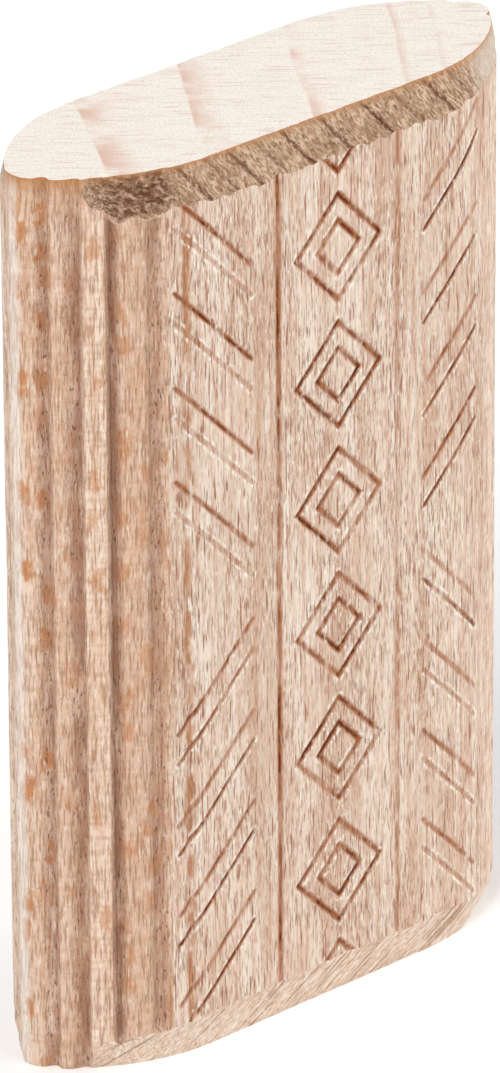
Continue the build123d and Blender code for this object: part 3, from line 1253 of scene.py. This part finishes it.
@dataclass
class Tenon:
    """The whole tenon, as one closed skin of beech. Millimetres.

    Columns run round the girth and rows along the grain. The outline is walked round the girth, set in by the
    reeds' valleys, the pressed grooves and the relief of the fibres, and then cut back to the tapered ends and the
    broken corners. One row follows the edge of each taper, so that the edge is clean.
    """

    thickness: float = 8.0
    width: float = 23.5
    length: float = 36.0
    shoulder_radius: float = 6.5
    nose_radius: float = 1.2

    # Reeds. On the right they lie nearer to the edge and are worn towards the cheek. At the ends the cut has taken
    # most of the valleys' depth, except near the middle of a round side
    valleys: tuple[Valley, ...] = (
        Valley(0.1252, 0.18, 0.12, 0.18, 0.10),
        Valley(0.2720, 0.24, 0.36, 0.26, 0.20),
        Valley(0.5030, 0.22, 0.10, 0.24, 0.34),
        Valley(0.6719, 0.16, 0.06, 0.69, 0.29),
        Valley(0.8326, 0.22, 0.10, 0.48, 0.24),
    )
    right_shift: float = 1.23
    right_worn_share: float = 0.15
    right_worn_runs: Pair = (3.4, 6.0)
    reed_end_loss: float = 0.75
    reed_end_fade: float = 0.3
    kept_reed_runs: Pair = (5.4, 6.0)
    tones: ReedTones = ReedTones()

    # Tapers. On the left they die out before the middle of the round side, where a little of the cut is left
    left_taper_runs: Pair = (4.5, 5.3)
    left_cut_share: float = 0.3
    edge_wavers: tuple[EdgeWaver, EdgeWaver] = (
        EdgeWaver(((0.04, FibreNoise(6, 0.3, 9.0)), (0.06, FibreNoise(7, 1.6, 9.0)))),
        EdgeWaver(((0.11, FibreNoise(16, 0.3, 9.0)), (0.06, FibreNoise(17, 1.6, 9.0)))),
    )
    least_edge: float = 0.12
    least_taper: float = 0.03
    cut_rim: float = 0.10
    cut_noise: FibreNoise = FibreNoise(13, 0.22, 0.35)
    cut_slant: float = 1.4
    cut_relief: float = 0.012
    low_cut_share: float = 0.4
    tear: Tear = Tear()
    corner: BrokenCorner = BrokenCorner()

    # Relief of the wood
    pattern: PressedPattern = PressedPattern()
    fibre_noise: FibreNoise = FibreNoise(3, 0.35, 4.0)
    fibre_relief: float = 0.010
    ripple_noise: FibreNoise = FibreNoise(4, 1.2, 1.1)
    ripple_relief: float = 0.006
    chip_noise: FibreNoise = FibreNoise(9, 0.35, 50.0)
    chip_window: Pair = (0.1, 0.9)
    chip_depth: float = 0.03
    scorch_fall: float = 0.14

    # Mesh
    cheek_run: float = 1.90
    pitch: float = 0.15
    end_zone: float = 2.4
    taper_rows: int = 13
    blend_rows: int = 8
    grid_columns: int = 57
    end_strips: int = 8
    spine_share: float = 0.9
    sharp_angle: float = 34.0
    key_digits: int = 6
    key_slack: float = 1e-5

    @property
    def outline(self) -> RoundedOblong:
        """Outline over the reeds."""
        return RoundedOblong(self.width / 2, self.thickness / 2, self.shoulder_radius, self.nose_radius)

    @property
    def taper(self) -> TaperedEnd:
        """Taper of both ends."""
        return TaperedEnd(self.width / 2, self.thickness / 2)

    def quarter(self) -> Array:
        """Runs past the end of the flat for the columns of one quarter, from the middle of the cheek.

        The cheek's columns stand a pitch apart in X. On the round side they stand about a pitch apart on the
        surface, with one on each rim and bottom of a valley.

        Returns:
            The runs, below zero on the flat.
        """
        outline = self.outline
        x = np.arange(self.grid_columns + 1) * self.pitch - outline.flat_end
        cheek = np.where(x > 0, outline.shoulder * np.arcsin(np.maximum(x, 0) / outline.shoulder), x)
        keys = [place for valley in self.valleys for place in valley.keys(outline.run)]
        keys = np.unique(np.array([*keys, cheek[-1], outline.run]).round(self.key_digits))
        keys = keys[(keys >= cheek[-1] - self.key_slack) & (keys <= outline.run + self.key_slack)]
        spans = [np.linspace(a, b, max(1, round((b - a) / self.pitch)) + 1)[1:] for a, b in zip(keys, keys[1:])]
        return np.concatenate([cheek, *spans])

    def girth(self) -> Girth:
        """Walks the outline round: a quarter forward, one back, and both again for the other half.

        Returns:
            The columns.
        """
        outline = self.outline
        quarter = self.quarter()
        turns = len(quarter) - 1
        forward, back = np.arange(turns), np.arange(turns, 0, -1)
        past = quarter[np.concatenate([forward, back, forward, back])]
        x_sign = np.repeat([1, 1, -1, -1], turns)
        y_sign = np.repeat([-1, 1, 1, -1], turns)
        right = x_sign * y_sign < 0
        x, y, angle = outline.point(past)
        x, y = x * x_sign, y * y_sign
        quarter_length = float(outline.flat_end + outline.run)
        length = 4 * quarter_length
        walked = np.where(right, past + outline.flat_end, -(past + outline.flat_end))
        place = (walked + np.repeat([0, 2, 2, 4], turns) * quarter_length) % length
        return Girth(
            turns, length, past, x, y, np.sin(angle) * x_sign, np.cos(angle) * y_sign,
            np.where(y_sign < 0, x, -x), place, right, y_sign < 0,
        )

    def reed_runs(self, girth: Girth) -> Array:
        """Runs by which the reeds are placed: on the right they are shifted, and stretched to end at the middle."""
        shifted = (girth.past - self.right_shift) / (1 - self.right_shift / self.outline.run)
        return np.where(girth.right, shifted, girth.past)

    def reeding(self, girth: Girth, reed_runs: Array) -> Array:
        """Depth of the reeding: that of the deepest valley at the place, worn on the right towards the cheek.

        Args:
            girth: Columns of the skin.
            reed_runs: Runs by which the reeds are placed.

        Returns:
            The depth for each column.
        """
        depth = np.max([valley.fall(reed_runs, self.outline.run) for valley in self.valleys], axis=0)
        worn = self.right_worn_share + (1 - self.right_worn_share) * smooth(girth.past, *self.right_worn_runs)
        return depth * np.where(girth.right, worn, 1.0)

    def heights(self, low_edge: Array, high_edge: Array) -> Array:
        """Heights of the rows for each column.

        Each end zone has even rows up to the taper's edge and even rows from there to the end of the zone. Between
        the zones the rows stand a pitch apart.

        Args:
            low_edge: Distance of the lower taper's edge from its end, for each column.
            high_edge: The same for the upper taper.

        Returns:
            Rows by columns.
        """
        rise = np.arange(self.taper_rows)[:, None] / self.taper_rows
        rest = np.arange(self.blend_rows)[:, None] / self.blend_rows
        zones = [
            np.concatenate([rise * edge, edge + rest * (self.end_zone - edge)]) for edge in (low_edge, high_edge)
        ]
        steps = round((self.length - 2 * self.end_zone) / self.pitch)
        between = self.end_zone + np.arange(steps + 1)[:, None] * self.pitch + np.zeros(low_edge.shape)
        return np.concatenate([zones[0], between, self.length - zones[1][::-1]])

    def build(self) -> bpy.types.Object:
        """Works out the skin, puts it into a mesh and dresses it.

        A point's depth under the outline is the sum of its valley, its pressed groove and the relief of the fibres.
        Beyond a taper's edge the point is set back by its distance outside the taper, and by the tear and the
        roughness of the cut.

        Returns:
            The finished piece.
        """
        girth = self.girth()
        reed_runs = self.reed_runs(girth)
        reeding = self.reeding(girth, reed_runs)
        kept = np.where(girth.right, 1.0, 1 - smooth(girth.past, *self.left_taper_runs))
        lost = kept * np.where(girth.right & girth.front, 1 - smooth(girth.past, *self.kept_reed_runs), 1.0)
        lost = self.reed_end_loss * lost
        sunk = reeding * (1 - lost)
        met = self.taper.meeting(girth.x - sunk * girth.out_x, girth.y - sunk * girth.out_y)
        torn = self.tear.share(girth.past) * (girth.front & ~girth.right)
        low_edge, high_edge = (
            np.maximum(kept * (met * self.taper.height + waver.at(girth)), self.least_edge)
            for waver in self.edge_wavers
        )
        high_edge = np.maximum(high_edge, torn * (self.tear.height + self.tear.rip.at(girth)))

        rows = self.heights(low_edge, high_edge)
        height = rows - self.pattern.sag(rows, girth, self.thickness / 2)
        place = np.broadcast_to(girth.place, rows.shape)
        upper = height > self.length / 2
        from_end = np.minimum(height, self.length - height)
        edge = np.where(upper, high_edge, low_edge)
        share = from_end / edge
        valleys = reeding * (1 - lost * (1 - smooth(from_end - edge, 0.0, self.reed_end_fade)))
        pressed, line_values = self.pattern.grooves(rows, girth, self.length, self.pitch)
        fibre = self.fibre_noise.at(place, height, girth.length)
        ripple = self.ripple_noise.at(place, height, girth.length)
        depth = valleys + pressed + self.fibre_relief * (1 + fibre) + self.ripple_relief * (1 + ripple)
        x, y = girth.x - depth * girth.out_x, girth.y - depth * girth.out_y

        distance, out_x, out_y = self.taper.outline(np.minimum(share, 1) * met).overhang(x, y)
        cutting = smooth(1 - share, 0.0, self.cut_rim)
        rough = self.cut_noise.at((place + self.cut_slant * height) % girth.length, height, girth.length)
        cut_share = self.left_cut_share + (1 - self.left_cut_share) * kept
        cut = np.where(share < 1, np.maximum(distance, 0) * cut_share, 0)
        cut = cut + torn * upper * self.tear.hollow(share, place, height, girth.length)
        cut = cut + cutting * self.cut_relief * (1 + rough) * np.where(upper, 1.0, self.low_cut_share)
        x, y = self.corner.cut(x - cut * out_x, y - cut * out_y, height, girth)

        chips = self.chip_depth * smooth(self.chip_noise.at(place, height, girth.length), *self.chip_window)
        at_end = (height == 0) * 1.0 - (height == self.length) * 1.0
        skin = np.stack([x, y, height + at_end * chips], -1)
        reed = np.searchsorted([valley.share * self.outline.run for valley in self.valleys], reed_runs)
        values = {
            **line_values,
            **self.tones.values(girth, reed, share < 1),
            "valley": valleys / np.max(reeding),
            "torn": torn * upper * cutting,
            "arris": np.exp((height - self.length) / self.scorch_fall),
        }
        tapered = [edge > self.least_edge + self.least_taper for edge in (low_edge, high_edge)]
        finish = np.where(reed_runs < self.cheek_run, Finish.CHEEK, Finish.REEDS) * np.ones((len(rows) - 1, 1), int)
        finish[:self.taper_rows, tapered[0]] = Finish.LOWER_TAPER
        finish[-self.taper_rows:, tapered[1]] = Finish.UPPER_TAPER
        return self.mesh(skin, values, finish, girth)

    def wall(self, skin: Array, girth: Girth) -> Array:
        """Triangles of the skin: two to a cell, split along the diagonal that lies along the grooves.

        Args:
            skin: Points of the skin, as rows by columns by X, Y and Z.
            girth: Columns of the skin.

        Returns:
            The three points of each triangle, by their numbers.
        """
        index = np.arange(skin.shape[0] * skin.shape[1]).reshape(skin.shape[:2])
        following = np.roll(index, -1, axis=1)
        a, b, c, d = index[:-1], following[:-1], following[1:], index[1:]
        height = (skin[:-1, :, 2] + skin[1:, :, 2]) / 2
        rising = self.pattern.rising(girth.across + self.pitch / 2, height, self.length)[..., None]
        first = np.where(rising, np.stack([a, b, c], -1), np.stack([a, b, d], -1))
        second = np.where(rising, np.stack([a, c, d], -1), np.stack([b, c, d], -1))
        return np.stack([first, second], 2).reshape(-1, 3)

    def end(self, skin: Array, girth: Girth, upward: bool, count: int) -> tuple[Array, Array]:
        """Fills an end by straight strips from each column to a spine on the middle line.

        The spine is nine tenths of the width long, and the front and the back share its points.

        Args:
            skin: Points of the skin, as rows by columns by X, Y and Z.
            girth: Columns of the skin.
            upward: Whether it is the upper end.
            count: Number of points that come before those of this end.

        Returns:
            The end's own points, and its triangles.
        """
        rows, columns = skin.shape[:2]
        turns = girth.turns
        column = np.arange(columns)
        quarter = column // turns
        step = np.where(quarter % 2 == 0, column % turns, turns - column % turns)
        on_spine = np.where(quarter < 2, step, turns + 1 + step)
        on_spine = np.where(on_spine == turns + 1, 0, on_spine)
        spine_x = self.spine_share * np.concatenate([girth.x[:turns + 1], girth.x[2 * turns:3 * turns + 1]])
        level = self.length if upward else 0.0
        spine = np.stack([spine_x, np.zeros(len(spine_x)), np.full(len(spine_x), level)], -1)
        row = rows - 1 if upward else 0
        share = np.linspace(0, 1, self.end_strips + 1)[1:-1, None, None]
        inner = skin[row] + (spine[on_spine] - skin[row]) * share
        inner[..., 2] = level
        grid = np.empty((self.end_strips + 1, columns), int)
        grid[0] = row * columns + column
        grid[1:-1] = count + np.arange(len(inner) * columns).reshape(-1, columns)
        grid[-1] = count + len(inner) * columns + on_spine
        beside = np.roll(grid, -1, axis=1)
        a, b, c, d = grid[:-1], beside[:-1], beside[1:], grid[1:]
        triangles = np.concatenate([np.stack(corners, -1).reshape(-1, 3) for corners in ((a, b, c), (a, c, d))])
        triangles = triangles if upward else triangles[:, ::-1]
        real = np.all(triangles != np.roll(triangles, -1, axis=1), axis=1)
        return np.concatenate([inner.reshape(-1, 3), spine]), triangles[real]

    def mesh(self, skin: Array, values: dict[str, Array], finish: Array, girth: Girth) -> bpy.types.Object:
        """Puts the skin and its two ends into a mesh, with the values and finishes that dress them.

        Args:
            skin: Points of the skin, as rows by columns by X, Y and Z.
            values: Values for the materials, for each point of the skin.
            finish: Finish of each cell of the skin.
            girth: Columns of the skin.

        Returns:
            The piece, with its materials.
        """
        points, triangles = [skin.reshape(-1, 3)], [self.wall(skin, girth)]
        finishes = [np.repeat(finish.reshape(-1), 2)]
        for upward in (False, True):
            own, end = self.end(skin, girth, upward, sum(len(part) for part in points))
            points.append(own)
            triangles.append(end)
            finishes.append(np.full(len(end), Finish.END_GRAIN))
        points, triangles = np.concatenate(points), np.concatenate(triangles)
        used = np.zeros(len(points), bool)
        used[triangles] = True
        triangles = (np.cumsum(used) - 1)[triangles]

        mesh = bpy.data.meshes.new("tenon_body")
        mesh.vertices.add(int(used.sum()))
        mesh.vertices.foreach_set("co", (points[used] * MM).astype(np.float32).ravel())
        mesh.loops.add(triangles.size)
        mesh.loops.foreach_set("vertex_index", triangles.astype(np.int32).ravel())
        mesh.polygons.add(len(triangles))
        mesh.polygons.foreach_set("loop_start", np.arange(0, triangles.size, 3, dtype=np.int32))
        for kind in Finish:
            mesh.materials.append(FINISHES[kind].material())
        mesh.polygons.foreach_set("material_index", np.concatenate(finishes).astype(np.int32))
        mesh.update(calc_edges=True)

        on_skin = skin.shape[0] * skin.shape[1]
        on_ends = np.zeros(len(points) - on_skin)
        for name, value in values.items():
            spread = np.concatenate([value.reshape(-1), on_ends])[used]
            mesh.attributes.new(name, "FLOAT", "POINT").data.foreach_set("value", spread.astype(np.float32))
        places = np.zeros((len(points), 3))
        places[:on_skin, 0] = np.broadcast_to(girth.place, skin.shape[:2]).reshape(-1)
        places[:, 1] = points[:, 2]
        mesh.attributes.new("girth_place", "FLOAT_VECTOR", "POINT").data.foreach_set(
            "vector", places[used].astype(np.float32).ravel())
        mesh.shade_smooth()
        mesh.set_sharp_from_angle(angle=math.radians(self.sharp_angle))
        piece = bpy.data.objects.new("tenon_body", mesh)
        bpy.context.scene.collection.objects.link(piece)
        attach(piece, "root")
        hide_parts("tenon")
        return piece


# --------------------------------------------------------------------------------------------------------------
# Stage


@dataclass(frozen=True)
class PhotoCamera:
    """Camera at the photograph's angle and framing, for an image of 500 x 1073 pixels."""

    image: tuple[int, int] = (500, 1073)
    azimuth: float = 42.721
    elevation: float = 25.059
    roll: float = -0.34
    focal_pixels: float = 10350.78
    pixels_per_mm: float = 26.817
    middle: Pair = (253.978, 534.029)
    sensor: float = 36.0
    clip_start: float = 0.01

    def build(self, target: Vector) -> bpy.types.Object:
        """Places the camera.

        Args:
            target: Middle of the tenon, in metres, which falls on the middle pixel.

        Returns:
            The camera.
        """
        turn, tilt, roll = (math.radians(angle) for angle in (self.azimuth, self.elevation, self.roll))
        forward = Vector((math.sin(turn) * math.cos(tilt), math.cos(turn) * math.cos(tilt), -math.sin(tilt)))
        level = Vector((math.cos(turn), -math.sin(turn), 0))
        upright = level.cross(forward)
        right = math.cos(roll) * level + math.sin(roll) * upright
        up = -math.sin(roll) * level + math.cos(roll) * upright
        distance = self.focal_pixels / self.pixels_per_mm * MM
        aside = (self.middle[0] - self.image[0] / 2) / self.focal_pixels * distance
        above = -(self.middle[1] - self.image[1] / 2) / self.focal_pixels * distance
        data = bpy.data.cameras.new("camera")
        data.sensor_fit = "AUTO"
        data.sensor_width = self.sensor
        data.lens = self.focal_pixels / max(self.image) * self.sensor
        data.clip_start = self.clip_start
        camera = bpy.data.objects.new("camera", data)
        place = target - aside * right - above * up - distance * forward
        camera.matrix_world = Matrix.Translation(place) @ Matrix((right, up, -forward)).transposed().to_4x4()
        bpy.context.scene.collection.objects.link(camera)
        bpy.context.scene.camera = camera
        return camera


@dataclass(frozen=True)
class SoftLamp:
    """Square studio lamp that looks at the tenon from a distance, in metres and watts."""

    name: str
    toward: tuple[float, float, float]
    distance: float
    size: float
    power: float

    def build(self, target: Vector) -> bpy.types.Object:
        """Places the lamp.

        Args:
            target: Middle of the tenon, in metres.

        Returns:
            The lamp.
        """
        data = bpy.data.lights.new(self.name, "AREA")
        data.size = self.size
        data.energy = self.power
        lamp = bpy.data.objects.new(self.name, data)
        toward = Vector(self.toward).normalized()
        turned = toward.to_track_quat("Z", "Y").to_matrix().to_4x4()
        lamp.matrix_world = Matrix.Translation(target + self.distance * toward) @ turned
        bpy.context.scene.collection.objects.link(lamp)
        return lamp


@dataclass(frozen=True)
class Studio:
    """Floor of matt white paper, soft lamps and a white room.

    Matt paper has no sheen and takes the tenon's soft shadow. It is lifted a little where it is seen, so that it
    looks white.
    """

    floor_size: float = 4.0
    white: str = "#ffffff"
    floor_lift: float = 0.08
    world_strength: float = 0.5
    lamps: tuple[SoftLamp, ...] = (
        SoftLamp("key_lamp", (-0.80, -0.35, 0.75), 1.0, 0.40, 5.4),
        SoftLamp("front_lamp", (0.35, -1.0, 0.45), 1.2, 0.9, 2.3),
        SoftLamp("side_lamp", (1.0, -0.22, 0.25), 1.0, 0.5, 5.0),
    )

    def paper(self) -> bpy.types.Material:
        """Builds the floor's material.

        Returns:
            The material.
        """
        material = bpy.data.materials.new("matt_white_paper")
        material.use_nodes = True
        tree = material.node_tree
        shader = tree.nodes["Principled BSDF"]
        shader.inputs["Base Color"].default_value = linear(self.white)
        shader.inputs["Emission Color"].default_value = linear(self.white)
        shader.inputs["Roughness"].default_value = 1.0
        shader.inputs["Specular IOR Level"].default_value = 0.0
        ray = add(tree, "LightPath").outputs
        seen = ray["Is Camera Ray"]
        for kind in ("Is Glossy Ray", "Is Transmission Ray"):
            seen = add(tree, "Math", {0: seen, 1: ray[kind]}, operation="MAXIMUM").outputs[0]
        lift = add(tree, "Math", {0: seen, 1: self.floor_lift}, operation="MULTIPLY").outputs[0]
        tree.links.new(lift, shader.inputs["Emission Strength"])
        return material

    def build(self, target: Vector) -> None:
        """Lays the floor, hangs the lamps and lights the world.

        Args:
            target: Middle of the tenon, in metres.
        """
        half = self.floor_size / 2
        mesh = bpy.data.meshes.new("floor")
        corners = [(-half, -half, 0), (half, -half, 0), (half, half, 0), (-half, half, 0)]
        mesh.from_pydata(corners, [], [(0, 1, 2, 3)])
        mesh.materials.append(self.paper())
        floor = bpy.data.objects.new("floor", mesh)
        bpy.context.scene.collection.objects.link(floor)
        for lamp in self.lamps:
            lamp.build(target)
        world = bpy.data.worlds.new("white_room")
        world.use_nodes = True
        background = world.node_tree.nodes["Background"]
        background.inputs["Color"].default_value = linear(self.white)
        background.inputs["Strength"].default_value = self.world_strength
        bpy.context.scene.world = world


def main() -> None:
    """Builds the tenon and its studio."""
    logging.basicConfig(level=logging.INFO, format="%(name)s: %(message)s")
    tenon = Tenon()
    piece = tenon.build()
    log.info("%s: %d triangles", piece.name, len(piece.data.polygons))
    middle = Vector((0, 0, tenon.length * MM / 2))
    Studio().build(middle)
    PhotoCamera().build(middle)
    bpy.context.scene.view_settings.view_transform = "Standard"


if __name__ == "__main__":
    main()
